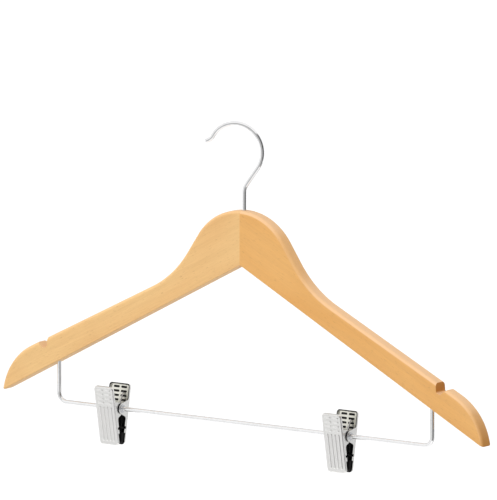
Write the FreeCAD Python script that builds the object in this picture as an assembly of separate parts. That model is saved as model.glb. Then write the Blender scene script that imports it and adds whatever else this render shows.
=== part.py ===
import FreeCAD, Part
import math
import os

# Wooden skirt hanger: two arms glued at the yoke, a swivelling wire hook, and a wire bar
# with two sprung clips that slide and swing on it. Millimetres, +Z up, +X along the bar,
# -Y towards the front. The origin is the rail seat: the inside of the hook above its stem.

V = FreeCAD.Vector
X_AXIS = V(1, 0, 0)
Y_AXIS = V(0, 1, 0)
Z_AXIS = V(0, 0, 1)

# Wooden arms
HALF_SPAN = 222.5
BOARD = 12.0
YOKE_RADIUS = 48.0
SHOULDER_ANGLE = 56.0
SHOULDER_RADIUS = 85.0
TOP_SLOPE_ANGLE = 26.3
LOW_SLOPE_ANGLE = 27.6
ARM_TOP_DROP = 23.8
ARM_DEPTH = 17.2
END_REACH = 26.0
TOP_ROUND = 3.0
LOW_ROUND = 0.8
COMB_FINGER_COUNT = 4
COMB_LENGTH = 6.0
NOTCH_X = 179.0
NOTCH_WIDTH = 9.8
NOTCH_DEPTH = 7.6
NOTCH_ROUND = 1.9
NOTCH_FOOT_SHARE = 0.1
NOTCH_FLOOR_SHARE = 0.47
NOTCH_FALL_SHARE = 0.18
NOTCH_FLARE_SHARE = 0.4

# Swivel hook
HOOK_WIRE = 3.2
HOOK_RADIUS = 21.2
HOOK_TURN_ANGLE = 15.0
NECK_STRAIGHT = 13.0
NECK_RADIUS = 12.0
NECK_LEAN_ANGLE = 35.0
NECK_RUN = 14.7
HOOK_SWEEP_ANGLE = 185.0
TIP_FLICK_RADIUS = 8.0
TIP_FLICK_ANGLE = 45.0
SEAT_DEPTH = 9.0
WASHER_WIDTH = 7.4
WASHER_THICK = 0.8
NUT_WIDTH = 6.0
NUT_HEIGHT = 4.0

# Clip bar
BAR_WIRE = 3.2
BAR_DROP = 161.5
BAR_LEG_X = 172.6
BAR_BEND = 7.0
BAR_SOCKET = 9.0

# Clips
LEFT_CLIP_X = -123.0
RIGHT_CLIP_X = 88.0
JAW_WIDTH = 17.2
JAW_REACH = 27.0
FINGER_REACH = 19.0
JAW_TILT_ANGLE = 10.0
PIVOT_DEPTH = 8.75
SHEET = 0.8
PLATE_CORNER = 2.5
PLATE_BEND = 1.0
TIP_FLANGE = 1.8
JAW_FLANGE = 3.3
JAW_FLANGE_FROM_TIP = 13.9
FINGER_FLANGE = 2.2
EAR_RADIUS = 4.2
EAR_JAW_FOOT = 6.0
EAR_FINGER_FOOT = 7.0
EAR_BLEND = 2.0
TAB_FROM_TIP = 9.0
TAB_WIDTH = 3.0
TAB_FOLD = 2.4
RIB_COUNT = 4
RIB_PITCH = 3.35
RIB_WIDTH = 2.2
RIB_HEIGHT = 0.7
GROOVE_INSET = 0.15
RIB_FROM_TIP = 3.0
RIB_LENGTH = 27.8
BEAD_ROW_COUNT = 4
BEAD_COLUMN_COUNT = 2
BEAD_PITCH = 3.3
BEAD_LENGTH = 5.9
BEAD_WIDTH = 2.0
BEAD_SPACING = 6.9
BEAD_FROM_FINGER = 2.8
PAD_LENGTH = 12.5
PAD_CREST = 5.0
PAD_BULGE = 25.0
EYELET_WALL = 0.5
EYELET_LIP = 0.9
EYELET_LIP_THICK = 0.45
SPRING_WIRE = 1.1
SPRING_TURN_COUNT = 4
SPRING_PITCH = 1.7
SPRING_LEG = 14.0

# Clearances
SWIVEL_PLAY = 0.06
SLIDE_PLAY = 0.08
PIVOT_PLAY = 0.06
SIDE_PLAY = 0.15
SEAT_PLAY = 0.05
GLUE_GAP = 0.05
PAD_GAP = 0.3
SPRING_PLAY = 0.35

# Points closer than this are the same point
SAME = 1e-6

# Worked out from the sizes above
yoke_height = ARM_TOP_DROP + ARM_DEPTH
hook_r = HOOK_WIRE / 2
bar_r = BAR_WIRE / 2
spring_r = SPRING_WIRE / 2
back_width = JAW_WIDTH + 2 * (SHEET + SIDE_PLAY)
eyelet_bore = bar_r + SLIDE_PLAY
eyelet_r = eyelet_bore + EYELET_WALL
coil_r = eyelet_r + SPRING_PLAY + spring_r


def slope_of(degrees):
    return math.tan(math.radians(degrees))


def turned(direction, degrees):
    """A direction in the XZ plane turned clockwise, from +Z towards +X."""
    a = math.radians(degrees)
    x = direction.x * math.cos(a) + direction.z * math.sin(a)
    z = direction.z * math.cos(a) - direction.x * math.sin(a)
    return V(x, 0, z)


def arc_from(start, tangent, end):
    """The arc that leaves start along tangent and ends at end, with its own end tangent."""
    chord = end - start
    along = chord.dot(tangent)
    side = chord - tangent * along
    across = side.Length
    side = side / across
    radius = chord.Length ** 2 / (2 * across)
    half = math.atan2(across, along)
    middle = start + side * (radius * (1 - math.cos(half))) + tangent * (radius * math.sin(half))
    return Part.Arc(start, middle, end).toShape()


def bent_wire(start, heading, bends, radius):
    """A round wire in the XZ plane: each bend is a straight run, then a turn at a radius."""
    edges = []
    point = start
    for run, turn_radius, turn in bends:
        if run > 0:
            ahead = point + heading * run
            edges.append(Part.LineSegment(point, ahead).toShape())
            point = ahead
        if turn:
            side = turned(heading, math.copysign(90, turn))
            centre = point + side * turn_radius
            new_heading = turned(heading, turn)
            end = centre - turned(new_heading, math.copysign(90, turn)) * turn_radius
            edges.append(arc_from(point, heading, end))
            point = end
            heading = new_heading
    profile = Part.Wire(Part.makeCircle(radius, start, edges[0].tangentAt(edges[0].FirstParameter)))
    return Part.Wire(edges).makePipeShell([profile], True, False), point


def edges_where(shape, test):
    return [edge for edge in shape.Edges if test(edge)]


def middle_of(edge):
    return edge.valueAt((edge.FirstParameter + edge.LastParameter) / 2)


def line_top(x):
    """Height of the arm's straight upper edge."""
    return -ARM_TOP_DROP - slope_of(TOP_SLOPE_ANGLE) * x


def line_low(x):
    """Height of the arm's straight lower edge."""
    return -yoke_height - slope_of(LOW_SLOPE_ANGLE) * x


def half_outline():
    """Outline of the right half of the board: dome, shoulder, arm, rounded end, lower edge."""
    shoulder = math.radians(SHOULDER_ANGLE)
    crown = V(0, 0, 0)
    dome_mid = V(YOKE_RADIUS * math.sin(shoulder / 2), 0, -YOKE_RADIUS * (1 - math.cos(shoulder / 2)))
    dome_end = V(YOKE_RADIUS * math.sin(shoulder), 0, -YOKE_RADIUS * (1 - math.cos(shoulder)))
    steep = V(math.cos(shoulder), 0, -math.sin(shoulder))
    gentle = V(math.cos(math.radians(TOP_SLOPE_ANGLE)), 0, -math.sin(math.radians(TOP_SLOPE_ANGLE)))
    drop = dome_end.z + slope_of(SHOULDER_ANGLE) * dome_end.x + ARM_TOP_DROP
    corner_x = drop / (slope_of(SHOULDER_ANGLE) - slope_of(TOP_SLOPE_ANGLE))
    corner = V(corner_x, 0, line_top(corner_x))
    reach = SHOULDER_RADIUS * slope_of((SHOULDER_ANGLE - TOP_SLOPE_ANGLE) / 2)
    bend_in = corner - steep * reach
    bend_out = corner + gentle * reach
    end_in = V(HALF_SPAN - END_REACH, 0, line_top(HALF_SPAN - END_REACH))
    tip = V(HALF_SPAN, 0, line_low(HALF_SPAN))
    apex = V(0, 0, -yoke_height)
    edges = [
        Part.Arc(crown, dome_mid, dome_end).toShape(),
        Part.LineSegment(dome_end, bend_in).toShape(),
        arc_from(bend_in, steep, bend_out),
        Part.LineSegment(bend_out, end_in).toShape(),
        arc_from(end_in, gentle, tip),
        Part.LineSegment(tip, apex).toShape(),
        Part.LineSegment(apex, crown).toShape(),
    ]
    return Part.Face(Part.Wire(edges))


def strap_notch():
    """Cutter for the strap notch of the right arm: an upright inner wall and a sloping outer one."""
    mouth_in = V(NOTCH_X, 0, line_top(NOTCH_X) + NOTCH_DEPTH)
    floor_z = line_top(NOTCH_X) - NOTCH_DEPTH
    foot = V(NOTCH_X + NOTCH_WIDTH * NOTCH_FOOT_SHARE, 0, floor_z)
    floor_out = V(NOTCH_X + NOTCH_WIDTH * NOTCH_FLOOR_SHARE, 0, floor_z - NOTCH_DEPTH * NOTCH_FALL_SHARE)
    lip = V(NOTCH_X + NOTCH_WIDTH, 0, line_top(NOTCH_X + NOTCH_WIDTH))
    mouth_out = lip + V(NOTCH_DEPTH * NOTCH_FLARE_SHARE, 0, NOTCH_DEPTH)
    points = [mouth_in, foot, floor_out, lip, mouth_out, mouth_in]
    cutter = Part.Face(Part.makePolygon(points)).extrude(Y_AXIS * (2 * BOARD))
    cutter.translate(V(0, -BOARD, 0))
    corners = edges_where(cutter, lambda e: abs(middle_of(e).y) < SAME
                          and min((middle_of(e) - V(p.x, 0, p.z)).Length for p in (foot, floor_out)) < SAME)
    return cutter.makeFillet(NOTCH_ROUND, corners)


def board_half():
    """The right half of the board with its upper edges rounded over and its notch cut."""
    board = half_outline().extrude(Y_AXIS * BOARD)
    board.translate(V(0, -BOARD / 2, 0))

    def on_face(edge):
        return abs(abs(middle_of(edge).y) - BOARD / 2) < SAME and middle_of(edge).x > SAME

    def is_low(edge):
        return abs(middle_of(edge).z - line_low(middle_of(edge).x)) < SAME

    upper = edges_where(board, lambda e: on_face(e) and not is_low(e))
    board = board.makeFillet(TOP_ROUND, upper)
    lower = edges_where(board, lambda e: on_face(e) and is_low(e))
    board = board.makeFillet(LOW_ROUND, lower)
    return board.cut(strap_notch())


def comb_half():
    """The space of the left arm: everything left of the joint, with its comb of fingers."""
    finger = BOARD / COMB_FINGER_COUNT
    deep = 2 * (yoke_height - line_low(HALF_SPAN))
    floor = -deep / 2 - yoke_height
    left = Part.makeBox(2 * HALF_SPAN, 2 * BOARD, deep, V(-2 * HALF_SPAN - COMB_LENGTH, -BOARD, floor))
    fingers = []
    for i in range(0, COMB_FINGER_COUNT, 2):
        corner = V(-COMB_LENGTH, -BOARD / 2 + i * finger, floor)
        fingers.append(Part.makeBox(COMB_LENGTH, finger, deep, corner))
    return left.multiFuse(fingers).removeSplitter()


def stem_bore():
    """Cutter for the stem's hole through the yoke and the seat of its washer and nut."""
    hole = Part.makeCylinder(hook_r + SWIVEL_PLAY, 2 * yoke_height, V(0, 0, -1.5 * yoke_height))
    seat_top = -yoke_height + SEAT_DEPTH
    seat = Part.makeCylinder(WASHER_WIDTH / 2 + SEAT_PLAY, yoke_height, V(0, 0, seat_top - yoke_height))
    return hole.fuse(seat)


def arms():
    """The left and the right arm, glued at a comb joint in the yoke."""
    right = board_half()
    left = right.mirror(V(0, 0, 0), X_AXIS)
    board = right.fuse(left).removeSplitter()
    board = board.cut(stem_bore())
    for side in (-1, 1):
        foot = V(side * BAR_LEG_X, 0, -BAR_DROP)
        top = line_low(BAR_LEG_X) + BAR_SOCKET
        board = board.cut(Part.makeCylinder(bar_r + GLUE_GAP, top - foot.z, foot))
    space = comb_half()
    return board.common(space), board.cut(space)


def swivel_hook():
    """The hook's wire from its lower end in the yoke to its flicked tip, and its rail seat."""
    low_end = -yoke_height + SEAT_DEPTH - WASHER_THICK - SEAT_PLAY - NUT_HEIGHT
    bends = [
        (NECK_STRAIGHT - low_end, NECK_RADIUS, NECK_LEAN_ANGLE),
        (NECK_RUN, HOOK_RADIUS, -HOOK_SWEEP_ANGLE),
        (0, TIP_FLICK_RADIUS, TIP_FLICK_ANGLE),
    ]
    wire, tip = bent_wire(V(0, 0, low_end), Z_AXIS, bends, hook_r)
    wire = wire.fuse(Part.makeSphere(hook_r, tip)).removeSplitter()
    lean = math.radians(NECK_LEAN_ANGLE)
    neck_x = NECK_RADIUS * (1 - math.cos(lean)) + NECK_RUN * math.sin(lean)
    neck_z = NECK_STRAIGHT + NECK_RADIUS * math.sin(lean) + NECK_RUN * math.cos(lean)
    centre_x = neck_x - HOOK_RADIUS * math.cos(lean)
    centre_z = neck_z + HOOK_RADIUS * math.sin(lean)
    seat_z = centre_z + math.sqrt((HOOK_RADIUS - hook_r) ** 2 - centre_x ** 2)
    wire.rotate(V(0, 0, 0), Z_AXIS, HOOK_TURN_ANGLE)
    return wire, seat_z


def hook_fixings():
    """The washer in its seat under the yoke and the nut below it, riveted on the stem."""
    seat_top = -yoke_height + SEAT_DEPTH
    washer = Part.makeCylinder(WASHER_WIDTH / 2, WASHER_THICK, V(0, 0, seat_top - WASHER_THICK))
    washer = washer.cut(Part.makeCylinder(hook_r + SWIVEL_PLAY, yoke_height, V(0, 0, seat_top - yoke_height)))
    nut_low = seat_top - WASHER_THICK - SEAT_PLAY - NUT_HEIGHT
    corner_r = NUT_WIDTH / 2 / math.cos(math.radians(30))
    points = []
    for i in range(7):
        a = math.radians(60 * i)
        points.append(V(corner_r * math.cos(a), corner_r * math.sin(a), nut_low))
    nut = Part.Face(Part.makePolygon(points)).extrude(Z_AXIS * NUT_HEIGHT)
    nut = nut.cut(Part.makeCylinder(hook_r, NUT_HEIGHT, V(0, 0, nut_low)))
    return washer, nut


def clip_bar():
    """The wire bar: two upright legs glued into the arms, and the level run between them."""
    top = line_low(BAR_LEG_X) + BAR_SOCKET
    leg = top + BAR_DROP - BAR_BEND
    bends = [
        (leg, BAR_BEND, -90),
        (2 * (BAR_LEG_X - BAR_BEND), BAR_BEND, -90),
        (leg, 0, 0),
    ]
    return bent_wire(V(-BAR_LEG_X, 0, top), -Z_AXIS, bends, bar_r)[0]


def rounded_plate(width, low, high, corner, bend, face_y, depth):
    """A block with rounded corners whose front face has a rounded rim."""
    block = Part.makeBox(width, depth, high - low, V(-width / 2, face_y, low))
    uprights = edges_where(block, lambda e: abs(e.tangentAt(e.FirstParameter).y) > 0.9)
    block = block.makeFillet(corner, uprights)
    rim = edges_where(block, lambda e: abs(middle_of(e).y - face_y) < SAME)
    return block.makeFillet(bend, rim)


def tangent_point(outside, centre, radius, side):
    """Where a line from a point touches a circle in the YZ plane."""
    away = outside - centre
    reach = away.Length
    turn = math.acos(radius / reach) * side
    unit = away / reach
    y = unit.y * math.cos(turn) - unit.z * math.sin(turn)
    z = unit.y * math.sin(turn) + unit.z * math.cos(turn)
    return centre + V(0, y, z) * radius


def flange_profile(width):
    """Side view of the folded flanges: low at the tip, an upright for the tab, then a round ear."""
    tab_low = -JAW_REACH + TAB_FROM_TIP
    tab_high = tab_low + TAB_WIDTH
    flange_low = -JAW_REACH + JAW_FLANGE_FROM_TIP
    depths = [
        (JAW_FLANGE, -EAR_JAW_FOOT),
        (JAW_FLANGE, flange_low),
        (TIP_FLANGE, flange_low),
        (TIP_FLANGE, tab_high),
        (JAW_FLANGE, tab_high),
        (JAW_FLANGE, tab_low),
        (TIP_FLANGE, tab_low),
        (TIP_FLANGE, -JAW_REACH),
        (0, -JAW_REACH),
        (0, FINGER_REACH),
        (FINGER_FLANGE, FINGER_REACH),
        (FINGER_FLANGE, EAR_FINGER_FOOT),
    ]
    corners = [V(0, depth - PIVOT_DEPTH, z) for depth, z in depths]
    feet = (corners[0], corners[-1])
    axis = V(0, 0, 0)
    touch_jaw = tangent_point(corners[0], axis, EAR_RADIUS, 1)
    touch_finger = tangent_point(corners[-1], axis, EAR_RADIUS, -1)
    corners = [touch_jaw, *corners, touch_finger]
    edges = [Part.LineSegment(a, b).toShape() for a, b in zip(corners, corners[1:])]
    edges.append(Part.Arc(touch_finger, V(0, EAR_RADIUS, 0), touch_jaw).toShape())
    profile = Part.Face(Part.Wire(edges)).extrude(X_AXIS * width)
    profile.translate(V(-width / 2, 0, 0))
    bends = edges_where(profile, lambda e: min((middle_of(e) - foot).Length for foot in feet) < SAME)
    return profile.makeFillet(EAR_BLEND, bends)


def capsule(start, end, radius):
    """A round bar with round ends."""
    way = end - start
    bar = Part.makeCylinder(radius, way.Length, start, way)
    return bar.multiFuse([Part.makeSphere(radius, start), Part.makeSphere(radius, end)]).removeSplitter()


def round_for(width, height):
    """Radius of the arc with that chord and rise."""
    return (width ** 2 / 4 + height ** 2) / (2 * height)


def pressed_rib(start, end, width):
    """A pressed rib with round ends: the metal that stands out in front and the groove behind."""
    face = -PIVOT_DEPTH
    radius = round_for(width, RIB_HEIGHT)
    sunk = V(0, face + radius - RIB_HEIGHT, 0)
    raised = capsule(start + sunk, end + sunk, radius)
    span = (end - start).Length + 4 * radius
    middle = (start + end) / 2
    near = V(middle.x - span / 2, face + SHEET / 2 - 2 * radius, middle.z - span / 2)
    raised = raised.common(Part.makeBox(span, 2 * radius, span, near))
    groove_radius = round_for(width - 2 * GROOVE_INSET, RIB_HEIGHT)
    hollow = V(0, face + SHEET + groove_radius - RIB_HEIGHT, 0)
    return raised, capsule(start + hollow, end + hollow, groove_radius)


def plate_ribs():
    """Long ribs on the jaw half of the plate and rows of short beads on the finger half."""
    ribs = []
    rib_low = -JAW_REACH + RIB_FROM_TIP + RIB_WIDTH / 2
    rib_high = rib_low + RIB_LENGTH - RIB_WIDTH
    for i in range(RIB_COUNT):
        x = (i - (RIB_COUNT - 1) / 2) * RIB_PITCH
        ribs.append(pressed_rib(V(x, 0, rib_low), V(x, 0, rib_high), RIB_WIDTH))
    half = (BEAD_LENGTH - BEAD_WIDTH) / 2
    for row in range(BEAD_ROW_COUNT):
        z = FINGER_REACH - BEAD_FROM_FINGER - row * BEAD_PITCH
        for column in range(BEAD_COLUMN_COUNT):
            x = (column - (BEAD_COLUMN_COUNT - 1) / 2) * BEAD_SPACING
            ribs.append(pressed_rib(V(x - half, 0, z), V(x + half, 0, z), BEAD_WIDTH))
    return ribs


def tab_room(width, depth, play):
    """The two tabs folded in from the flanges near the tip, or with play the room they need."""
    low = -JAW_REACH + TAB_FROM_TIP - play
    fold = TAB_FOLD + play
    tabs = []
    for start in (-width / 2, width / 2 - fold):
        corner = V(start, -PIVOT_DEPTH + JAW_FLANGE - SHEET - play, low)
        tabs.append(Part.makeBox(fold, depth + play, TAB_WIDTH + 2 * play, corner))
    return tabs


def jaw(width):
    """A stamped jaw about the pivot axis, its plate upright and facing the front."""
    face = -PIVOT_DEPTH
    deep = PIVOT_DEPTH + 2 * EAR_RADIUS
    outer = rounded_plate(width, -JAW_REACH, FINGER_REACH, PLATE_CORNER, PLATE_BEND, face, deep)
    inner = rounded_plate(width - 2 * SHEET, -JAW_REACH + SHEET, FINGER_REACH - SHEET,
                          PLATE_CORNER - SHEET, PLATE_BEND / 2, face + SHEET, deep)
    stamped = outer.common(flange_profile(width + SHEET)).cut(inner)
    hole = Part.makeCylinder(eyelet_r + PIVOT_PLAY, 2 * width, V(-width, 0, 0), X_AXIS)
    ribs = plate_ribs()
    solid = stamped.cut(hole).multiFuse([raised for raised, groove in ribs] + tab_room(width, SHEET, 0))
    return solid.cut([groove for raised, groove in ribs]).removeSplitter()


def pad(width):
    """The rubber pad of a jaw, crowned towards the other jaw's pad and notched for the tabs."""
    face = -PIVOT_DEPTH + SHEET
    low = -JAW_REACH + SHEET + GLUE_GAP
    high = low + PAD_LENGTH
    tilt = math.radians(JAW_TILT_ANGLE)
    crest_z = low + PAD_CREST
    crest = V(0, crest_z * math.tan(tilt) - PAD_GAP / 2 / math.cos(tilt), crest_z)
    centre = crest - V(0, math.cos(tilt), -math.sin(tilt)) * PAD_BULGE

    def on_crown(z):
        return V(0, centre.y + math.sqrt(PAD_BULGE ** 2 - (z - centre.z) ** 2), z)

    edges = [
        Part.LineSegment(V(0, face, low), V(0, face, high)).toShape(),
        Part.LineSegment(V(0, face, high), on_crown(high)).toShape(),
        Part.Arc(on_crown(high), crest, on_crown(low)).toShape(),
        Part.LineSegment(on_crown(low), V(0, face, low)).toShape(),
    ]
    inside = width - 2 * SHEET - 2 * GLUE_GAP
    block = Part.Face(Part.Wire(edges)).extrude(X_AXIS * inside)
    block.translate(V(-inside / 2, 0, 0))
    room = rounded_plate(inside, low, high, PLATE_CORNER - SHEET, PLATE_BEND / 2, face, 2 * PIVOT_DEPTH)
    return block.common(room).cut(tab_room(width, 2 * PIVOT_DEPTH, GLUE_GAP))


def eyelet():
    """The hollow rivet through the ears, with a rolled lip at each end; the bar runs in it."""
    length = back_width + 2 * SEAT_PLAY
    tube = Part.makeCylinder(eyelet_r, length, V(-length / 2, 0, 0), X_AXIS)
    lips = []
    for start in (-length / 2 - EYELET_LIP_THICK, length / 2):
        lips.append(Part.makeCylinder(eyelet_r + EYELET_LIP, EYELET_LIP_THICK, V(start, 0, 0), X_AXIS))
    bore = Part.makeCylinder(eyelet_bore, 2 * length, V(-length, 0, 0), X_AXIS)
    return tube.multiFuse(lips).removeSplitter().cut(bore)


def biarc(start, start_tangent, end, end_tangent):
    """Two arcs that join two points smoothly, with the tangents given."""
    chord = end - start
    tangents = start_tangent + end_tangent
    bend = 2 * (1 - start_tangent.dot(end_tangent))
    reach = chord.dot(tangents)
    leg = (math.sqrt(reach ** 2 + 2 * bend * chord.dot(chord)) - reach) / bend
    middle = (start + end + (start_tangent - end_tangent) * (leg / 2)) / 2
    first = arc_from(start, start_tangent, middle)
    halfway = (middle - start - start_tangent * (leg / 2)).normalize()
    return [first, arc_from(middle, halfway, end)]


def clip_spring():
    """The torsion spring round the eyelet: a leg up each finger plate and turns between."""
    stand_off = PIVOT_DEPTH - SHEET - spring_r - PAD_GAP
    splay = math.asin(stand_off / math.hypot(coil_r, SPRING_LEG)) - math.atan2(coil_r, SPRING_LEG)
    leg_angle = math.radians(JAW_TILT_ANGLE) + splay
    sweep = math.pi - 2 * leg_angle + 2 * math.pi * SPRING_TURN_COUNT
    rise = SPRING_PITCH / (2 * math.pi)
    quarters = round(sweep / (math.pi / 2))
    step = sweep / quarters

    def on_coil(k):
        a = leg_angle + k * step
        return V((k * step - sweep / 2) * rise, -coil_r * math.cos(a), -coil_r * math.sin(a))

    def along_coil(k):
        a = leg_angle + k * step
        lead = rise if 0 < k < quarters else 0.0
        return V(lead, coil_r * math.sin(a), -coil_r * math.cos(a)).normalize()

    leg_start = on_coil(0) - along_coil(0) * SPRING_LEG
    leg_end = on_coil(quarters) + along_coil(quarters) * SPRING_LEG
    edges = [Part.LineSegment(leg_start, on_coil(0)).toShape()]
    for k in range(quarters):
        edges += biarc(on_coil(k), along_coil(k), on_coil(k + 1), along_coil(k + 1))
    edges.append(Part.LineSegment(on_coil(quarters), leg_end).toShape())
    profile = Part.Wire(Part.makeCircle(spring_r, leg_start, along_coil(0)))
    spring = Part.Wire(edges).makePipeShell([profile], True, False)

    points = [p for edge in edges for p in edge.discretize(9)[:-1]]
    apart = int(len(points) / SPRING_TURN_COUNT / 2)
    gaps = [(p - q).Length for i, p in enumerate(points) for q in points[i + apart:]]
    print("spring gap to itself %.2f mm" % (min(gaps) - SPRING_WIRE))
    return spring


def clip():
    """The pieces of one clip about the bar's axis, hanging with its jaws closed."""
    def as_front(shape):
        shape.rotate(V(0, 0, 0), X_AXIS, JAW_TILT_ANGLE)
        return shape

    def as_back(shape):
        shape.rotate(V(0, 0, 0), Z_AXIS, 180)
        shape.rotate(V(0, 0, 0), X_AXIS, -JAW_TILT_ANGLE)
        return shape

    return {
        "front_jaw": as_front(jaw(JAW_WIDTH)),
        "back_jaw": as_back(jaw(back_width)),
        "front_pad": as_front(pad(JAW_WIDTH)),
        "back_pad": as_back(pad(back_width)),
        "spring": clip_spring(),
        "eyelet": eyelet(),
    }


def main():
    left_arm, right_arm = arms()
    hook, seat_z = swivel_hook()
    washer, nut = hook_fixings()
    nodes = {
        "left_arm": left_arm,
        "right_arm": right_arm,
        "swivel_hook": hook,
        "hook_washer": washer,
        "hook_nut": nut,
        "clip_bar": clip_bar(),
    }
    pieces = clip()
    for side, x in (("left", LEFT_CLIP_X), ("right", RIGHT_CLIP_X)):
        for name, shape in pieces.items():
            placed = shape.copy()
            placed.translate(V(x, 0, -BAR_DROP))
            nodes[side + "_clip_" + name] = placed
    os.makedirs("parts", exist_ok=True)
    for name, shape in nodes.items():
        shape.translate(V(0, 0, -seat_z))
        print("%-22s %d solid, valid %s, %.1f mm3" % (name, len(shape.Solids), shape.isValid(), shape.Volume))
        shape.exportStep("parts/%s.step" % name)
    print("rail seat %.2f mm above the yoke" % seat_z)


main()
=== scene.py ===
import math

import bmesh
import bpy
from bpy.props import FloatProperty, FloatVectorProperty, PointerProperty
from mathutils import Matrix, Vector


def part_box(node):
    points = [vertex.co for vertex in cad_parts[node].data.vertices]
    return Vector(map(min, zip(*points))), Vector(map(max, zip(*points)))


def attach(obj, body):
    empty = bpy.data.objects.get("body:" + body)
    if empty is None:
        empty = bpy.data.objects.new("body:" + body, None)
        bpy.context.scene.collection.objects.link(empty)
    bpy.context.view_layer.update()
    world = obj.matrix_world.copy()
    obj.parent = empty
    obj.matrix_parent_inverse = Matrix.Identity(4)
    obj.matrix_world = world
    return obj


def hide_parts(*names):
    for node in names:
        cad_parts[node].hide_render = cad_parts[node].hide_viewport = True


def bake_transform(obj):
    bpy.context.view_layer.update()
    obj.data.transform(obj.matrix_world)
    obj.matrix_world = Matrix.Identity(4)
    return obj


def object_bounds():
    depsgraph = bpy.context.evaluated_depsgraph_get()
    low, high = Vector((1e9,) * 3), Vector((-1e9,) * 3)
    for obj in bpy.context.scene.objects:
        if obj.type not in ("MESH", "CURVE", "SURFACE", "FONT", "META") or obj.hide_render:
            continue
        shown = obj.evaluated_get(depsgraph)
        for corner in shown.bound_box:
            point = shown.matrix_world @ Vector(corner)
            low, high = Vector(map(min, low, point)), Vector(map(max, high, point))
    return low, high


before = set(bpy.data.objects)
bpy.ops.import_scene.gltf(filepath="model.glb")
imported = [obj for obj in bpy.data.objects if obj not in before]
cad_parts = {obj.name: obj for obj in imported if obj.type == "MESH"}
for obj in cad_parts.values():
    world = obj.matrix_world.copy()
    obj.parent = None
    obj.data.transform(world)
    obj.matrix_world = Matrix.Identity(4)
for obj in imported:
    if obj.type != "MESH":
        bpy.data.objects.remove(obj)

CAD_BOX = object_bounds()

bl_info = {
    "name": "Skirt hanger",
    "version": (1, 0, 0),
    "blender": (4, 5, 0),
    "location": "View3D > Sidebar > Hanger",
    "description": "Beech, chrome and rubber finishes for a wooden hanger with two sliding clips",
    "category": "Object",
}

SIDES = ("left", "right")
MM = 0.001
SAME = 1e-4 * MM

# The clips' own sizes, repeated from the part's solids, in metres about the bar's axis.
JAW_TILT = math.radians(10.0)
PIVOT_DEPTH = 8.75 * MM
SHEET = 0.8 * MM
GLUE_GAP = 0.05 * MM
JAW_REACH = 27.0 * MM
PAD_LENGTH = 12.5 * MM
PAD_CREST = 5.0 * MM
PAD_BULGE = 25.0 * MM
PAD_GAP = 0.3 * MM
PAD_CORNER = 1.7 * MM
JAW_FLANGE = 3.3 * MM
TAB_FROM_TIP = 9.0 * MM
TAB_WIDTH = 3.0 * MM
TAB_FOLD = 2.4 * MM
COIL_RADIUS = 3.08 * MM
SPRING_PITCH = 1.7 * MM
SPRING_TURNS = 4
SPRING_LEG = 14.0 * MM

# How finely the scene's own pieces are meshed.
PAD_GRID = (60, 48)
STEPS_PER_TURN = 40
WIRE_SIDES = 14
TIP_ROUND = 0.35
SHARP_ANGLE = math.radians(40.0)

# The wood's patterns, in cells per metre along the grain, through the board and across the grain.
BROAD_TONE = (9.0, 30.0, 30.0)
GROWTH_LINES = (6.0, 160.0, 260.0)
FIBRES = (90.0, 2600.0, 2600.0)
FLECKS = (230.0, 1500.0, 2300.0)
FIBRE_STRENGTH = 0.22
FIBRE_DEPTH = 0.06 * MM

# Which stretch of a noise pattern shows: where it starts and where it is full.
TONE_STRETCH = (0.32, 0.7)
HIGHLIGHT_STRETCH = (0.35, 0.6)
LINE_STRETCH = (0.45, 0.8)
FIBRE_STRETCH = (0.35, 0.75)
GLOSS_STRETCH = (0.3, 0.7)
FLECK_STRETCH = (0.66, 0.74)
SMUDGE_STRETCH = (0.35, 0.75)
SHINE_STRETCH = (0.3, 0.75)
DUST_STRETCH = (0.45, 0.8)

# Where the wood's end grain, its painted shade and its painted highlights change: distance from the middle
# in metres, then how far a surface faces a way, from -1 to 1. Each pair gives where the tone starts and
# where it is full.
OUTER_ARM = (0.15, 0.17)
END_GRAIN_SHADE_FACING = (0.3, 0.85)
NOTCH_FACING = (-0.3, -0.6)
NOTCH_HIGHLIGHT = 0.55
OFF_FACE = (0.97, 0.86)
STEEP = (0.0, 0.3)
STEEP_HIGHLIGHT_SHARE = 0.4
LEVEL = (0.5, 0.8)

# The patterns of metal and rubber, in cells per metre.
WAVES = (180.0, 180.0, 180.0)
SMUDGES = (320.0, 320.0, 240.0)
HAIRLINES = (900.0, 5200.0, 5200.0)
RUBBER_GRAIN = (4200.0, 4200.0, 4200.0)
RUBBER_DUST = (420.0, 420.0, 420.0)
SMUDGE_GREY = (0.46, 0.46, 0.47, 1.0)
DUST_GREY = (0.02, 0.02, 0.021, 1.0)
PLATE_DEPTH = 0.2 * MM
RUBBER_DEPTH = 0.04 * MM

# Where the jaws get painted shade and painted dark reflections, measured from the inner face of their sheet,
# and the depth of the throat under the pivot.
JAW_INSIDE = (0.2, 0.5)
BEAD_HOLLOW = (-0.05 * MM, -0.25 * MM)
CUT_RIM = (0.3 * MM, 0.5 * MM)
THROAT_DEPTH = 6.0 * MM

# The picture's size, the pixel at the foot of the hook's stem, and the camera's sensor in millimetres.
PHOTO_WIDTH = 497
PHOTO_HEIGHT = 500
STEM_PIXEL = (244.3, 210.3)
SENSOR = 36.0
CAMERA_REACH = 100.0

# Tones of the floor, and the ways in which the two soft lights shine.
FLOOR_MATT = 0.8
FLOOR_GLOW = 0.3
KEY_DIRECTION = (0.4, 0.65, -1.0)
FILL_DIRECTION = (-0.8, 0.5, -0.5)
LIGHT_SPREAD = math.radians(100.0)

# Upright cards for the chrome to mirror: azimuth from the front to the right in degrees, then distance,
# width, foot and top in metres, and tone.
CARDS = (
    (36.0, 0.8, 2.8, -0.6, 0.6, 0.5),
    (96.0, 0.6, 0.87, -0.6, 0.6, 0.06),
    (-40.0, 0.45, 1.4, -0.6, -0.27, 0.84),
    (216.0, 0.8, 1.6, -0.6, 0.6, 0.55),
    (140.0, 0.45, 1.4, -0.6, -0.27, 0.72),
)


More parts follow.
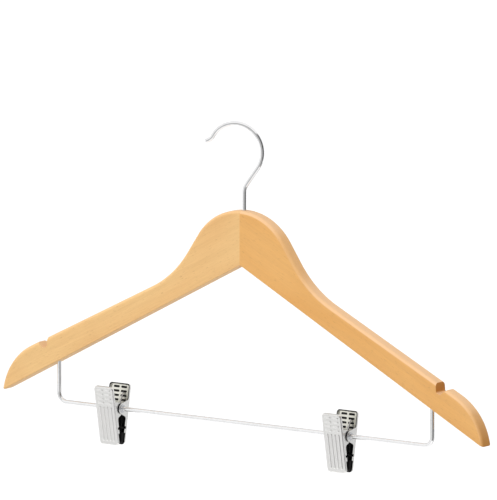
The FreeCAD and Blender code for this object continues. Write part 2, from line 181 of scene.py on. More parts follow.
def clip_pivot(side):
    """The middle of a clip's pivot, which lies on the bar's axis."""
    low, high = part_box(f"{side}_clip_eyelet")
    return (low + high) / 2


def grey(level):
    """A neutral colour."""
    return (level, level, level, 1.0)


class Shading:
    """A material's node tree, with one short call for each node."""

    def __init__(self, name):
        self.material = bpy.data.materials.new(name)
        self.material.use_nodes = True
        self.tree = self.material.node_tree
        self.tree.nodes.clear()
        self.coordinates = self.add("ShaderNodeTexCoord")

    def add(self, kind, inputs=None, **settings):
        """One node, with its inputs linked or set."""
        node = self.tree.nodes.new(kind)
        for key, value in settings.items():
            setattr(node, key, value)
        for key, value in (inputs or {}).items():
            socket = node.inputs[key]
            if isinstance(value, bpy.types.NodeSocket):
                self.tree.links.new(value, socket)
            else:
                socket.default_value = value
        return node

    def stretched(self, scale, turn=0.0):
        """Object coordinates turned about Y and scaled, in pattern cells per metre."""
        turned = self.add("ShaderNodeMapping", {
            "Vector": self.coordinates.outputs["Object"], "Rotation": (0.0, turn, 0.0)})
        return self.add("ShaderNodeMapping", {
            "Vector": turned.outputs["Vector"], "Scale": scale}).outputs["Vector"]

    def noise(self, vector, detail=2.0, roughness=0.5, distortion=0.0):
        """A smooth pattern, mostly between 0.25 and 0.75."""
        return self.add("ShaderNodeTexNoise", {
            "Vector": vector, "Scale": 1.0, "Detail": detail,
            "Roughness": roughness, "Distortion": distortion}).outputs["Fac"]

    def between(self, value, low, high, start=0.0, end=1.0):
        """A value taken from one range to another, held at the ends."""
        return self.add("ShaderNodeMapRange", {
            "Value": value, "From Min": low, "From Max": high,
            "To Min": start, "To Max": end}).outputs["Result"]

    def mixed(self, share, first, second):
        """Two colours mixed by a share."""
        node = self.add("ShaderNodeMix", data_type="RGBA")
        for key, value in ((0, share), (6, first), (7, second)):
            if isinstance(value, bpy.types.NodeSocket):
                self.tree.links.new(value, node.inputs[key])
            else:
                node.inputs[key].default_value = value
        return node.outputs[2]

    def maths(self, operation, first, second=0.0):
        return self.add("ShaderNodeMath", {0: first, 1: second}, operation=operation).outputs["Value"]

    def product(self, first, second):
        return self.maths("MULTIPLY", first, second)

    def measured(self, vector, direction):
        """How far a vector reaches in one direction."""
        node = self.add("ShaderNodeVectorMath", {0: vector, 1: direction}, operation="DOT_PRODUCT")
        return node.outputs["Value"]

    def bump(self, height, strength, distance):
        return self.add("ShaderNodeBump", {
            "Height": height, "Strength": strength, "Distance": distance}).outputs["Normal"]

    def finish(self, **inputs):
        """The surface itself, from the shader's inputs by their names with underscores."""
        named = {key.replace("_", " "): value for key, value in inputs.items()}
        surface = self.add("ShaderNodeBsdfPrincipled", named)
        self.add("ShaderNodeOutputMaterial", {"Surface": surface.outputs["BSDF"]})
        return self.material


def paint(obj, material):
    """Gives a piece one material in all its slots."""
    if not obj.material_slots:
        obj.data.materials.append(material)
    for slot in obj.material_slots:
        slot.material = material


def lacquered_beech(name, light, deep, edge_highlight, side, wood):
    """Pale beech along one arm: broad tone, growth lines, fibres, short flecks and a satin lacquer.

    A painted highlight pales the upper edge and the notch walls, and the end grain is darker, deepened as
    painted shade on the tips."""
    s = Shading(name)
    turn = -side * wood.grain_angle
    outward = (side * math.cos(turn), 0.0, side * math.sin(turn))
    tone = s.noise(s.stretched(BROAD_TONE, turn), distortion=0.3)
    lines = s.noise(s.stretched(GROWTH_LINES, turn), detail=3.0, roughness=0.6, distortion=0.5)
    fibres = s.noise(s.stretched(FIBRES, turn), detail=3.0, roughness=0.6)
    dashes = s.noise(s.stretched(FLECKS, turn), detail=1.0, roughness=0.4)
    flecks = s.between(dashes, *FLECK_STRETCH)

    place = s.coordinates.outputs["Object"]
    normal = s.coordinates.outputs["Normal"]
    far = s.between(s.measured(place, (side, 0.0, 0.0)), *OUTER_ARM)
    facing_out = s.measured(normal, outward)
    # End grain on the outward faces of the tips, darkened further as painted shade.
    end_grain_and_shade = s.product(far, s.between(facing_out, *END_GRAIN_SHADE_FACING))
    # Painted highlight on the notch walls that face in.
    notch_highlight = s.product(far, s.between(facing_out, *NOTCH_FACING, 0.0, NOTCH_HIGHLIGHT))

    # Painted highlight on the upper edges: how far the outline faces up, whatever the rounding between the
    # face and the edge.
    turned = s.maths("ABSOLUTE", s.measured(normal, (0.0, 1.0, 0.0)))
    in_outline = s.maths("SQRT", s.maths("SUBTRACT", 1.0, s.product(turned, turned)))
    rising = s.maths("DIVIDE", s.measured(normal, (0.0, 0.0, 1.0)), in_outline)
    steep = s.between(rising, *STEEP, 0.0, STEEP_HIGHLIGHT_SHARE * edge_highlight)
    upward = s.maths("MAXIMUM", steep, s.between(rising, *LEVEL, 0.0, edge_highlight))
    edge = s.product(s.between(turned, *OFF_FACE), upward)
    edge = s.product(edge, s.between(tone, *HIGHLIGHT_STRETCH, 0.8, 1.0))

    line_colour = tuple(wood.line_colour)
    colour = s.mixed(s.between(tone, *TONE_STRETCH), light, deep)
    colour = s.mixed(s.between(lines, *LINE_STRETCH, 0.0, wood.line_strength), colour, line_colour)
    colour = s.mixed(s.between(fibres, *FIBRE_STRETCH, 0.0, FIBRE_STRENGTH), colour, line_colour)
    colour = s.mixed(s.product(flecks, wood.fleck_strength), colour, tuple(wood.fleck_colour))
    # Painted highlight on the upper edges and the notch walls.
    colour = s.mixed(s.maths("MAXIMUM", edge, notch_highlight), colour, tuple(wood.highlight_colour))
    # End grain colour, deepened as painted shade on the tips.
    colour = s.mixed(s.product(end_grain_and_shade, wood.end_grain_shade_strength), colour, tuple(wood.end_grain_shade_colour))
    relief = s.maths("SUBTRACT", fibres, flecks)
    return s.finish(
        Base_Color=colour,
        Roughness=s.between(fibres, *GLOSS_STRETCH, wood.roughness - 0.05, wood.roughness + 0.08),
        Normal=s.bump(relief, strength=0.25, distance=FIBRE_DEPTH),
        Specular_IOR_Level=0.12,
        Coat_Weight=0.05,
        Coat_Roughness=0.15,
    )


def plated(name, colour, roughness, wave, scratch):
    """Bright plating: slow waviness of the metal under it, smudges and hairline scratches."""
    s = Shading(name)
    slow = s.noise(s.stretched(WAVES))
    smudge = s.noise(s.stretched(SMUDGES), detail=4.0, roughness=0.65, distortion=0.6)
    hair = s.noise(s.stretched(HAIRLINES), detail=1.0)
    relief = s.maths("ADD", s.product(slow, wave), s.product(hair, scratch))
    return s.finish(
        Base_Color=s.mixed(s.between(smudge, *SMUDGE_STRETCH, 0.0, 0.18), tuple(colour), SMUDGE_GREY),
        Metallic=1.0,
        Roughness=s.between(smudge, *SHINE_STRETCH, roughness * 0.75, roughness * 1.5),
        Normal=s.bump(relief, strength=0.4, distance=PLATE_DEPTH),
    )


def stamped_chrome(name, facing, metal):
    """Satin stamped plate, creamier inside, with painted shade and painted dark reflections in the throat,
    in the beads' hollows and on cut rims.
    """
    s = Shading(name)
    pivot = clip_pivot("left")
    across = (0.0, facing * math.cos(JAW_TILT), math.sin(JAW_TILT))
    inner_face = SHEET - PIVOT_DEPTH + pivot.z * math.sin(JAW_TILT)
    place = s.coordinates.outputs["Object"]
    depth = s.maths("SUBTRACT", s.measured(place, across), inner_face)
    inside = s.between(s.measured(s.coordinates.outputs["Normal"], across), *JAW_INSIDE)
    throat = s.between(s.measured(place, (0.0, 0.0, 1.0)), pivot.z, pivot.z - THROAT_DEPTH)
    pressed = s.maths("MAXIMUM", s.between(depth, *BEAD_HOLLOW), s.between(depth, *CUT_RIM))
    # Painted shade and painted dark reflections in the throat, the beads' hollows and the cut rims.
    painted_shade = s.product(inside, s.maths("MAXIMUM", pressed, throat))
    smudge = s.noise(s.stretched(SMUDGES), detail=4.0, roughness=0.65, distortion=0.6)
    slow = s.noise(s.stretched(WAVES))
    shade = s.mixed(s.between(smudge, *SMUDGE_STRETCH, 0.0, 0.06), tuple(metal.clip_colour), SMUDGE_GREY)
    shade = s.mixed(inside, shade, tuple(metal.clip_inside))
    shade = s.mixed(painted_shade, shade, tuple(metal.clip_painted_shade))
    rough = metal.clip_roughness
    return s.finish(
        Base_Color=shade,
        Metallic=1.0,
        Roughness=s.between(smudge, *SHINE_STRETCH, rough * 0.9, rough * 1.2),
        Normal=s.bump(slow, strength=0.06, distance=PLATE_DEPTH),
    )


def moulded_rubber(name, colour):
    """Black rubber with a fine matt grain and a little dust in its colour."""
    s = Shading(name)
    grain = s.noise(s.stretched(RUBBER_GRAIN), roughness=0.6)
    dust = s.noise(s.stretched(RUBBER_DUST), detail=3.0, roughness=0.6)
    return s.finish(
        Base_Color=s.mixed(s.between(dust, *DUST_STRETCH, 0.0, 0.3), tuple(colour), DUST_GREY),
        Roughness=s.between(dust, *GLOSS_STRETCH, 0.45, 0.68),
        Normal=s.bump(grain, strength=0.35, distance=RUBBER_DEPTH),
        Specular_IOR_Level=0.25,
    )


class HangerWood(bpy.types.PropertyGroup):
    """Colours and gloss of the two wooden arms, with their painted highlights and painted shade."""
    left_light: FloatVectorProperty(
        name="Left arm light", description="Palest tone of the left arm",
        subtype="COLOR", size=4, min=0.0, max=1.0, default=(0.91, 0.60, 0.27, 1.0))
    left_deep: FloatVectorProperty(
        name="Left arm deep", description="Deepest tone of the left arm",
        subtype="COLOR", size=4, min=0.0, max=1.0, default=(0.85, 0.51, 0.215, 1.0))
    right_light: FloatVectorProperty(
        name="Right arm light", description="Palest tone of the right arm",
        subtype="COLOR", size=4, min=0.0, max=1.0, default=(0.865, 0.48, 0.165, 1.0))
    right_deep: FloatVectorProperty(
        name="Right arm deep", description="Deepest tone of the right arm",
        subtype="COLOR", size=4, min=0.0, max=1.0, default=(0.80, 0.41, 0.125, 1.0))
    line_colour: FloatVectorProperty(
        name="Growth lines", description="Tone of the growth lines and fibres",
        subtype="COLOR", size=4, min=0.0, max=1.0, default=(0.60, 0.31, 0.12, 1.0))
    # End grain tone, deep enough to also paint the shade on the tips.
    end_grain_shade_colour: FloatVectorProperty(
        name="End grain", description="Tone of the end grain at the tips and in the notches",
        subtype="COLOR", size=4, min=0.0, max=1.0, default=(0.43, 0.15, 0.0, 1.0))
    # Colour of the painted highlight on the upper edges and notch walls.
    highlight_colour: FloatVectorProperty(
        name="Upper edges", description="Tone of the lacquer on the rounded upper edges",
        subtype="COLOR", size=4, min=0.0, max=1.0, default=(0.98, 0.64, 0.37, 1.0))
    fleck_colour: FloatVectorProperty(
        name="Flecks", description="Tone of the short dark flecks",
        subtype="COLOR", size=4, min=0.0, max=1.0, default=(0.42, 0.19, 0.07, 1.0))
    # Strength of the painted highlight on each arm's upper edge, stronger on the right arm.
    left_edge_highlight: FloatProperty(
        name="Left edge paleness", description="How strongly the left arm's upper edge pales",
        subtype="FACTOR", min=0.0, max=1.0, default=0.3)
    right_edge_highlight: FloatProperty(
        name="Right edge paleness", description="How strongly the right arm's upper edge pales",
        subtype="FACTOR", min=0.0, max=1.0, default=0.9)
    line_strength: FloatProperty(
        name="Line strength", description="How strongly the growth lines show",
        subtype="FACTOR", min=0.0, max=1.0, default=0.25)
    fleck_strength: FloatProperty(
        name="Fleck strength", description="How strongly the flecks show",
        subtype="FACTOR", min=0.0, max=1.0, default=0.45)
    # How strongly the end grain and its painted shade darken the tips.
    end_grain_shade_strength: FloatProperty(
        name="End strength", description="How strongly the end grain darkens",
        subtype="FACTOR", min=0.0, max=1.0, default=0.8)
    roughness: FloatProperty(
        name="Roughness", description="Roughness of the wood under the lacquer",
        subtype="FACTOR", min=0.0, max=1.0, default=0.4)
    grain_angle: FloatProperty(
        name="Grain angle", description="Slope of the grain down each arm",
        subtype="ANGLE", default=math.radians(27.4))


class HangerMetal(bpy.types.PropertyGroup):
    """Colours and gloss of the wire, clips and fixings, and the painted shade in the jaws."""
    wire_colour: FloatVectorProperty(
        name="Wire chrome", description="Colour of the hook and bar",
        subtype="COLOR", size=4, min=0.0, max=1.0, default=(0.92, 0.92, 0.925, 1.0))
    clip_colour: FloatVectorProperty(
        name="Clip chrome", description="Colour of the stamped jaws",
        subtype="COLOR", size=4, min=0.0, max=1.0, default=(0.85, 0.845, 0.83, 1.0))
    clip_inside: FloatVectorProperty(
        name="Clip inside", description="Colour of the jaws' inner faces",
        subtype="COLOR", size=4, min=0.0, max=1.0, default=(0.86, 0.85, 0.77, 1.0))
    # Colour of the painted shade and painted dark reflections deep in the jaws, in the beads' hollows and on
    # cut rims.
    clip_painted_shade: FloatVectorProperty(
        name="Clip hollows", description="Colour deep in the jaws and in their beads' hollows",
        subtype="COLOR", size=4, min=0.0, max=1.0, default=(0.03, 0.03, 0.03, 1.0))
    fixing_colour: FloatVectorProperty(
        name="Zinc", description="Colour of the washer, nut and eyelets",
        subtype="COLOR", size=4, min=0.0, max=1.0, default=(0.66, 0.67, 0.69, 1.0))
    spring_colour: FloatVectorProperty(
        name="Spring steel", description="Colour of the springs",
        subtype="COLOR", size=4, min=0.0, max=1.0, default=(0.50, 0.50, 0.51, 1.0))
    wire_roughness: FloatProperty(
        name="Wire roughness", description="Roughness of the hook and bar",
        subtype="FACTOR", min=0.0, max=1.0, default=0.08)
    clip_roughness: FloatProperty(
        name="Clip roughness", description="Roughness of the stamped jaws",
        subtype="FACTOR", min=0.0, max=1.0, default=0.32)
    fixing_roughness: FloatProperty(
        name="Fixing roughness", description="Roughness of the washer, nut, eyelets and springs",
        subtype="FACTOR", min=0.0, max=1.0, default=0.26)


class HangerClips(bpy.types.PropertyGroup):
    """Sizes and colour of the clips' pads and springs."""
    rubber_colour: FloatVectorProperty(
        name="Rubber", description="Colour of the pads",
        subtype="COLOR", size=4, min=0.0, max=1.0, default=(0.005, 0.005, 0.0055, 1.0))
    rim_round: FloatProperty(
        name="Pad rim", description="Rounding of a pad's rim",
        subtype="DISTANCE", unit="LENGTH", default=0.9 * MM)
    spring_wire: FloatProperty(
        name="Spring wire", description="Diameter of the springs' wire",
        subtype="DISTANCE", unit="LENGTH", default=1.1 * MM)


class HangerStage(bpy.types.PropertyGroup):
    """The camera's place, the floor and the lights."""
    azimuth: FloatProperty(
        name="Azimuth", description="How far the camera stands to the right of the front",
        subtype="ANGLE", default=math.radians(36.0))
    elevation: FloatProperty(
        name="Elevation", description="How far the camera stands above the horizon",
        subtype="ANGLE", default=math.radians(9.0))
    distance: FloatProperty(
        name="Distance", description="From the camera to the hanger",
        subtype="DISTANCE", unit="LENGTH", default=12.0)
    pixel: FloatProperty(
        name="Pixel", description="Width of one picture pixel at the hanger",
        subtype="DISTANCE", unit="LENGTH", precision=6, default=0.747 * MM)
    floor_drop: FloatProperty(
        name="Floor drop", description="From the clips' tips down to the floor",
        subtype="DISTANCE", unit="LENGTH", default=0.35)
    floor_size: FloatProperty(
        name="Floor size", description="Width of the floor",
        subtype="DISTANCE", unit="LENGTH", default=40.0)
    ambient: FloatProperty(
        name="Ambient", description="Strength of the light from all round", default=0.48)
    key_strength: FloatProperty(
        name="Key light", description="Strength of the soft light from the upper left", default=1.85)
    fill_strength: FloatProperty(
        name="Fill light", description="Strength of the soft light from the right", default=0.3)
    card_strength: FloatProperty(
        name="Cards", description="Strength of the cards that only reflections see", default=1.0)


def mesh_piece(name, bm):
    """Makes an object of a finished bmesh, shaded smooth with its sharp edges kept."""
    mesh = bpy.data.meshes.new(name)
    bmesh.ops.recalc_face_normals(bm, faces=bm.faces)
    for face in bm.faces:
        face.smooth = True
    bm.to_mesh(mesh)
    bm.free()
    mesh.set_sharp_from_angle(angle=SHARP_ANGLE)
    piece = bpy.data.objects.new(name, mesh)
    bpy.context.scene.collection.objects.link(piece)
    return piece


def jaw_place(side, which):
    """Takes a jaw's own frame, pivot at the origin and plate to the front, to the clip."""
    lean = Matrix.Rotation(JAW_TILT, 4, "X")
    if which == "back":
        lean = Matrix.Rotation(-JAW_TILT, 4, "X") @ Matrix.Rotation(math.pi, 4, "Z")
    return Matrix.Translation(clip_pivot(side)) @ lean


def pad_crown(z):
    """How far a pad's crowned face stands out at a height of the jaw."""
    crest_z = -JAW_REACH + SHEET + GLUE_GAP + PAD_CREST
    crest_y = crest_z * math.tan(JAW_TILT) - PAD_GAP / 2 / math.cos(JAW_TILT)
    centre_y = crest_y - PAD_BULGE * math.cos(JAW_TILT)
    centre_z = crest_z + PAD_BULGE * math.sin(JAW_TILT)
    return centre_y + math.sqrt(PAD_BULGE ** 2 - (z - centre_z) ** 2)


def mark_tab_notches(bm, jaw_width):
    """Cuts the pad's face along the two notches for the jaw's tabs, and gives the faces in them."""
    inner = jaw_width / 2 - TAB_FOLD - GLUE_GAP
    low = -JAW_REACH + TAB_FROM_TIP - GLUE_GAP
    high = low + TAB_WIDTH + 2 * GLUE_GAP
    cuts = [((sign * inner, 0, 0), (1, 0, 0)) for sign in (-1, 1)]
    cuts += [((0, 0, z), (0, 0, 1)) for z in (low, high)]
    for point, normal in cuts:
        everything = bm.verts[:] + bm.edges[:] + bm.faces[:]
        bmesh.ops.bisect_plane(bm, geom=everything, plane_co=point, plane_no=normal, dist=SAME)
    middles = {face: face.calc_center_median() for face in bm.faces}
    return [face for face, m in middles.items() if abs(m.x) > inner and low < m.z < high]


def sink_notches(bm, notches):
    """Lowers the notches to the underside of the tabs, open at the pad's sides."""
    before = set(bm.faces)
    sunk = set(bmesh.ops.extrude_face_region(bm, geom=notches)["geom"])
    walls = [face for face in bm.faces if face not in before and face not in sunk]
    bmesh.ops.delete(bm, geom=notches, context="FACES")
    fence = [face for face in walls if any(edge.is_boundary for edge in face.edges)]
    bmesh.ops.delete(bm, geom=fence, context="FACES")
    for item in sunk:
        if isinstance(item, bmesh.types.BMVert):
            item.co.y = -PIVOT_DEPTH + JAW_FLANGE - SHEET - GLUE_GAP


def round_corners(bm, half, low, high):
    """Draws the corners of the pad's face in to the jaw's own corner."""
    for vert in bm.verts:
        upper = vert.co.z > (low + high) / 2
        corner_z = high - PAD_CORNER if upper else low + PAD_CORNER
        out = Vector((abs(vert.co.x) - half + PAD_CORNER, 0.0, vert.co.z - corner_z))
        reach = out.z if upper else -out.z
        if out.x > 0 and reach > 0:
            out = out.normalized() * max(out.x, reach)
            vert.co.x = math.copysign(half - PAD_CORNER + out.x, vert.co.x)
            vert.co.z = corner_z + out.z


def moulded_pad(side, which, clips):
    """A jaw's rubber pad: crowned, round at its rim and notched for the tabs."""
    node = f"{side}_clip_{which}_pad"
    low_corner, high_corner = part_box(node)
    width = high_corner.x - low_corner.x
    half = width / 2
    low = -JAW_REACH + SHEET + GLUE_GAP
    bm = bmesh.new()
    bmesh.ops.create_grid(bm, x_segments=PAD_GRID[0], y_segments=PAD_GRID[1], size=0.5)
    for vert in bm.verts:
        vert.co = Vector((vert.co.x * width, 0.0, low + (vert.co.y + 0.5) * PAD_LENGTH))
    notches = mark_tab_notches(bm, width + 2 * SHEET + 2 * GLUE_GAP)
    round_corners(bm, half, low, low + PAD_LENGTH)
    rim_points = [vert.co.copy() for vert in bm.verts if vert.is_boundary]
    for vert in bm.verts:
        near = min((vert.co - point).length for point in rim_points)
        short = max(0.0, clips.rim_round - near)
        drop = clips.rim_round - math.sqrt(clips.rim_round ** 2 - short ** 2)
        vert.co.y = pad_crown(vert.co.z) - drop
    sink_notches(bm, notches)
    rim = [edge for edge in bm.edges if edge.is_boundary]
    wall = bmesh.ops.extrude_edge_only(bm, edges=rim)["geom"]
    for item in wall:
        if isinstance(item, bmesh.types.BMVert):
            item.co.y = -PIVOT_DEPTH + SHEET
    bmesh.ops.remove_doubles(bm, verts=bm.verts, dist=SAME)
    bmesh.ops.dissolve_degenerate(bm, edges=bm.edges, dist=SAME)
    rim = [edge for edge in bm.edges if edge.is_boundary]
    bmesh.ops.poke(bm, faces=bmesh.ops.holes_fill(bm, edges=rim, sides=0)["faces"])
    bmesh.ops.transform(bm, matrix=jaw_place(side, which), verts=bm.verts)
    piece = mesh_piece(f"{side}_{which}_rubber_pad", bm)
    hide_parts(node)
    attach(piece, f"{side}_clip_{which}")
    return piece


def leg_angle(wire_radius):
    """How far a spring's legs lean from upright, each against its finger plate."""
    stand_off = PIVOT_DEPTH - SHEET - wire_radius - PAD_GAP
    reach = math.hypot(COIL_RADIUS, SPRING_LEG)
    return JAW_TILT + math.asin(stand_off / reach) - math.atan2(COIL_RADIUS, SPRING_LEG)


def wound_spring(side, clips):
    """A clip's torsion spring: a leg up each finger plate and the turns between them."""
    radius = clips.spring_wire / 2
    lean = leg_angle(radius)
    sweep = math.pi - 2 * lean + 2 * math.pi * SPRING_TURNS
    length = SPRING_PITCH * sweep / (2 * math.pi)
    steps = STEPS_PER_TURN * SPRING_TURNS
    coil_start = Vector((-length / 2, -COIL_RADIUS * math.cos(lean), -COIL_RADIUS * math.sin(lean)))
    down = Vector((0.0, math.sin(lean), -math.cos(lean)))
    up_back = Vector((0.0, math.sin(lean), math.cos(lean)))
    bm = bmesh.new()
    wire = bmesh.ops.create_circle(bm, cap_ends=True, segments=WIRE_SIDES, radius=radius)["verts"]
    turn = Vector((0.0, 0.0, 1.0)).rotation_difference(down).to_matrix()
    bmesh.ops.rotate(bm, verts=wire, cent=(0, 0, 0), matrix=turn)
    bmesh.ops.translate(bm, verts=wire, vec=coil_start - down * SPRING_LEG)

    def draw_out(face, along):
        made = bmesh.ops.extrude_face_region(bm, geom=[face])["geom"]
        ends = [item for item in made if isinstance(item, bmesh.types.BMVert)]
        bmesh.ops.translate(bm, verts=ends, vec=along)
        return next(item for item in made if isinstance(item, bmesh.types.BMFace))

    face = draw_out(bm.faces[:][0], down * SPRING_LEG)
    rise = Vector((length / steps, 0.0, 0.0))
    last = bmesh.ops.spin(
        bm, geom=[face, *face.edges, *face.verts], cent=(0, 0, 0), axis=(1, 0, 0),
        dvec=rise, angle=sweep, steps=steps, use_merge=False, use_duplicate=False)["geom_last"]
    face = next(item for item in last if isinstance(item, bmesh.types.BMFace))
    draw_out(face, up_back * SPRING_LEG)
    bmesh.ops.delete(bm, geom=[face], context="FACES_ONLY")
    bmesh.ops.remove_doubles(bm, verts=bm.verts, dist=SAME)
    tips = [face for face in bm.faces if len(face.verts) > 4]
    bmesh.ops.bevel(
        bm, geom=[edge for face in tips for edge in face.edges], offset=radius * TIP_ROUND,
        affect="EDGES", segments=2, profile=0.5, material=-1)
    pivot = clip_pivot(side)
    bmesh.ops.translate(bm, verts=bm.verts, vec=pivot)
    piece = mesh_piece(f"{side}_wound_spring", bm)
    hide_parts(f"{side}_clip_spring")
    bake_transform(piece)
    return piece


class HANGER_OT_wood(bpy.types.Operator):
    """Finish the two wooden arms"""
    bl_idname = "hanger.wood"
    bl_label = "Wooden arms"

    def execute(self, context):
        wood = context.scene.hanger_wood
        paint(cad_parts["left_arm"], lacquered_beech(
            "beech_left", tuple(wood.left_light), tuple(wood.left_deep), wood.left_edge_highlight, -1.0, wood))
        paint(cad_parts["right_arm"], lacquered_beech(
            "beech_right", tuple(wood.right_light), tuple(wood.right_deep), wood.right_edge_highlight, 1.0, wood))
        return {"FINISHED"}


class HANGER_OT_metal(bpy.types.Operator):
    """Finish the hook, bar, jaws and fixings"""
    bl_idname = "hanger.metal"
    bl_label = "Metal pieces"

    def execute(self, context):
        metal = context.scene.hanger_metal
        wire = plated("wire_chrome", metal.wire_colour, metal.wire_roughness, wave=0.15, scratch=0.05)
        zinc = plated("zinc_plate", metal.fixing_colour, metal.fixing_roughness, wave=0.3, scratch=0.12)
        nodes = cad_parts
        for name in ("swivel_hook", "clip_bar"):
            paint(nodes[name], wire)
        for name in ("hook_washer", "hook_nut"):
            paint(nodes[name], zinc)
        for side in SIDES:
            paint(nodes[f"{side}_clip_eyelet"], zinc)
        for which, facing in (("front", 1.0), ("back", -1.0)):
            chrome = stamped_chrome(f"clip_chrome_{which}", facing, metal)
            for side in SIDES:
                paint(nodes[f"{side}_clip_{which}_jaw"], chrome)
        return {"FINISHED"}


class HANGER_OT_pads(bpy.types.Operator):
    """Model the clips' four rubber pads"""
    bl_idname = "hanger.pads"
    bl_label = "Rubber pads"

    def execute(self, context):
        clips = context.scene.hanger_clips
        rubber = moulded_rubber("pad_rubber_black", clips.rubber_colour)
        for side in SIDES:
            for which in ("front", "back"):
                paint(moulded_pad(side, which, clips), rubber)
        return {"FINISHED"}


class HANGER_OT_springs(bpy.types.Operator):
    """Model the clips' two wound springs"""
    bl_idname = "hanger.springs"
    bl_label = "Springs"

    def execute(self, context):
        scene = context.scene
        metal = scene.hanger_metal
        steel = plated(
            "spring_steel_wire", metal.spring_colour, metal.fixing_roughness, wave=0.2, scratch=0.2)
        for side in SIDES:
            paint(wound_spring(side, scene.hanger_clips), steel)
        return {"FINISHED"}


def seen_share(tree):
    """One where the camera, a reflection or glass looks straight at a surface, else nothing."""
    path = tree.nodes.new("ShaderNodeLightPath")
    share = path.outputs["Is Camera Ray"]
    for name in ("Is Glossy Ray", "Is Transmission Ray"):
        most = tree.nodes.new("ShaderNodeMath")
        most.operation = "MAXIMUM"
        tree.links.new(share, most.inputs[0])
        tree.links.new(path.outputs[name], most.inputs[1])
        share = most.outputs["Value"]
    return share


def white_world(stage):
    """White where it is seen, and a plain soft light on everything."""
    world = bpy.data.worlds.new("studio")
    bpy.context.scene.world = world
    world.use_nodes = True
    tree = world.node_tree
    tree.nodes.clear()
    light = tree.nodes.new("ShaderNodeBackground")
    light.inputs["Color"].default_value = grey(1.0)
    light.inputs["Strength"].default_value = stage.ambient
    white = tree.nodes.new("ShaderNodeBackground")
    white.inputs["Color"].default_value = grey(1.0)
    white.inputs["Strength"].default_value = 1.0
    mix = tree.nodes.new("ShaderNodeMixShader")
    tree.links.new(seen_share(tree), mix.inputs["Fac"])
    tree.links.new(light.outputs["Background"], mix.inputs[1])
    tree.links.new(white.outputs["Background"], mix.inputs[2])
    out = tree.nodes.new("ShaderNodeOutputWorld")
    tree.links.new(mix.outputs["Shader"], out.inputs["Surface"])


def pale_floor(stage):
    """A plain pale floor that keeps the hanger's shadow."""
    bm = bmesh.new()
    bmesh.ops.create_grid(bm, x_segments=1, y_segments=1, size=stage.floor_size / 2)
    bmesh.ops.translate(bm, verts=bm.verts, vec=(0.0, 0.0, CAD_BOX[0].z - stage.floor_drop))
    mesh = bpy.data.meshes.new("floor")
    bm.to_mesh(mesh)
    bm.free()
    floor = bpy.data.objects.new("floor", mesh)
    bpy.context.scene.collection.objects.link(floor)
    material = bpy.data.materials.new("pale_floor")
    material.use_nodes = True
    tree = material.node_tree
    tree.nodes.clear()
    matt = tree.nodes.new("ShaderNodeBsdfDiffuse")
    matt.inputs["Color"].default_value = grey(FLOOR_MATT)
    glow = tree.nodes.new("ShaderNodeEmission")
    glow.inputs["Color"].default_value = grey(FLOOR_GLOW)
    tree.links.new(seen_share(tree), glow.inputs["Strength"])
    both = tree.nodes.new("ShaderNodeAddShader")
    tree.links.new(matt.outputs["BSDF"], both.inputs[0])
    tree.links.new(glow.outputs["Emission"], both.inputs[1])
    out = tree.nodes.new("ShaderNodeOutputMaterial")
    tree.links.new(both.outputs["Shader"], out.inputs["Surface"])
    mesh.materials.append(material)


def soft_light(name, direction, strength):
    """A broad soft light that falls the same on everything."""
    lamp = bpy.data.lights.new(name, "SUN")
    lamp.angle = LIGHT_SPREAD
    lamp.energy = strength
    obj = bpy.data.objects.new(name, lamp)
    obj.rotation_mode = "QUATERNION"
    obj.rotation_quaternion = Vector(direction).to_track_quat("-Z", "Y")
    obj.visible_glossy = False
    bpy.context.scene.collection.objects.link(obj)


def mirror_card(name, azimuth, distance, width, foot, top, material):
    """An upright card for the bright metal to mirror. It throws no shade and only reflections see it."""
    away = Vector((math.sin(azimuth), -math.cos(azimuth), 0.0))
    across = Vector((math.cos(azimuth), math.sin(azimuth), 0.0))
    bm = bmesh.new()
    corners = [(-1, foot), (1, foot), (1, top), (-1, top)]
    bm.faces.new([
        bm.verts.new(away * distance + across * (side * width / 2) + Vector((0.0, 0.0, z)))
        for side, z in corners])
    mesh = bpy.data.meshes.new(name)
    bm.to_mesh(mesh)
    bm.free()
    mesh.materials.append(material)
    card = bpy.data.objects.new(name, mesh)
    bpy.context.scene.collection.objects.link(card)
    card.visible_camera = False
    card.visible_diffuse = False
    card.visible_transmission = False
    card.visible_shadow = False


def card_material(name, tone, strength):
    """An even glow of one grey."""
    material = bpy.data.materials.new(name)
    material.use_nodes = True
    tree = material.node_tree
    tree.nodes.clear()
    glow = tree.nodes.new("ShaderNodeEmission")
    glow.inputs["Color"].default_value = grey(tone)
    glow.inputs["Strength"].default_value = strength
    out = tree.nodes.new("ShaderNodeOutputMaterial")
    tree.links.new(glow.outputs["Emission"], out.inputs["Surface"])
    return material


def mirror_cards(stage):
    """The cards round the hanger, which give the chrome its streaks."""
    for number, (azimuth, distance, width, foot, top, tone) in enumerate(CARDS):
        name = f"mirror_card_{number}"
        mirror_card(name, math.radians(azimuth), distance, width, foot, top,
                    card_material(name, tone, stage.card_strength))


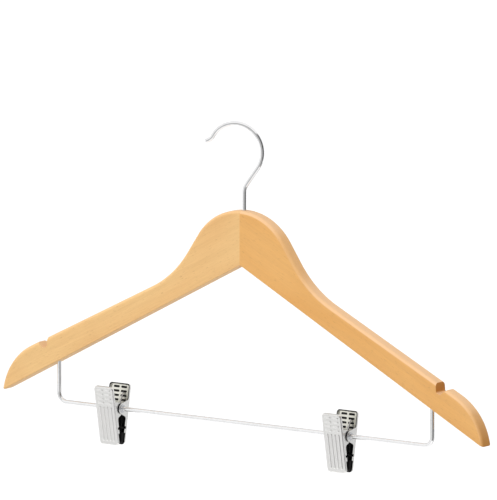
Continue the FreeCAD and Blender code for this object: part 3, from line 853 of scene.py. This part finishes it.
def aim_camera(stage):
    """The picture's viewpoint, with the stem's foot on its own pixel."""
    turn, rise = stage.azimuth, stage.elevation
    right = Vector((math.cos(turn), math.sin(turn), 0.0))
    back = Vector((math.sin(turn) * math.cos(rise), -math.cos(turn) * math.cos(rise), math.sin(rise)))
    up = back.cross(right)
    stem_foot = Vector((0.0, 0.0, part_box("left_arm")[1].z))
    across = (PHOTO_WIDTH / 2 - STEM_PIXEL[0]) * stage.pixel
    above = (STEM_PIXEL[1] - PHOTO_HEIGHT / 2) * stage.pixel
    target = stem_foot + right * across + up * above
    data = bpy.data.cameras.new("camera")
    data.sensor_width = SENSOR
    data.lens = stage.distance / stage.pixel * SENSOR / PHOTO_HEIGHT
    data.clip_end = CAMERA_REACH
    camera = bpy.data.objects.new("camera", data)
    camera.location = target + back * stage.distance
    camera.rotation_mode = "QUATERNION"
    camera.rotation_quaternion = (-back).to_track_quat("-Z", "Y")
    bpy.context.scene.collection.objects.link(camera)
    bpy.context.scene.camera = camera


class HANGER_OT_stage(bpy.types.Operator):
    """Set up the floor, light and camera"""
    bl_idname = "hanger.stage"
    bl_label = "Stage"

    def execute(self, context):
        scene = context.scene
        stage = scene.hanger_stage
        scene.view_settings.view_transform = "Standard"
        white_world(stage)
        pale_floor(stage)
        mirror_cards(stage)
        soft_light("key_light", KEY_DIRECTION, stage.key_strength)
        soft_light("fill_light", FILL_DIRECTION, stage.fill_strength)
        aim_camera(stage)
        return {"FINISHED"}


class HANGER_PT_panel(bpy.types.Panel):
    """Lists the hanger's sizes and colours, and the steps that make it"""
    bl_idname = "HANGER_PT_panel"
    bl_label = "Skirt hanger"
    bl_space_type = "VIEW_3D"
    bl_region_type = "UI"
    bl_category = "Hanger"

    def draw(self, context):
        layout = self.layout
        for name in SETTINGS:
            group = getattr(context.scene, name)
            box = layout.box()
            for key in group.bl_rna.properties.keys():
                if key not in ("rna_type", "name"):
                    box.prop(group, key)
        for step in STEPS:
            layout.operator(step.bl_idname)


SETTINGS = {
    "hanger_wood": HangerWood,
    "hanger_metal": HangerMetal,
    "hanger_clips": HangerClips,
    "hanger_stage": HangerStage,
}
STEPS = (HANGER_OT_wood, HANGER_OT_metal, HANGER_OT_pads, HANGER_OT_springs, HANGER_OT_stage)


def register():
    for name, group in SETTINGS.items():
        bpy.utils.register_class(group)
        setattr(bpy.types.Scene, name, PointerProperty(type=group))
    for step in STEPS:
        bpy.utils.register_class(step)
    bpy.utils.register_class(HANGER_PT_panel)


def unregister():
    bpy.utils.unregister_class(HANGER_PT_panel)
    for step in reversed(STEPS):
        bpy.utils.unregister_class(step)
    for name, group in SETTINGS.items():
        delattr(bpy.types.Scene, name)
        bpy.utils.unregister_class(group)


def main():
    register()
    bpy.ops.hanger.wood()
    bpy.ops.hanger.metal()
    bpy.ops.hanger.pads()
    bpy.ops.hanger.springs()
    bpy.ops.hanger.stage()


if __name__ == "__main__":
    main()
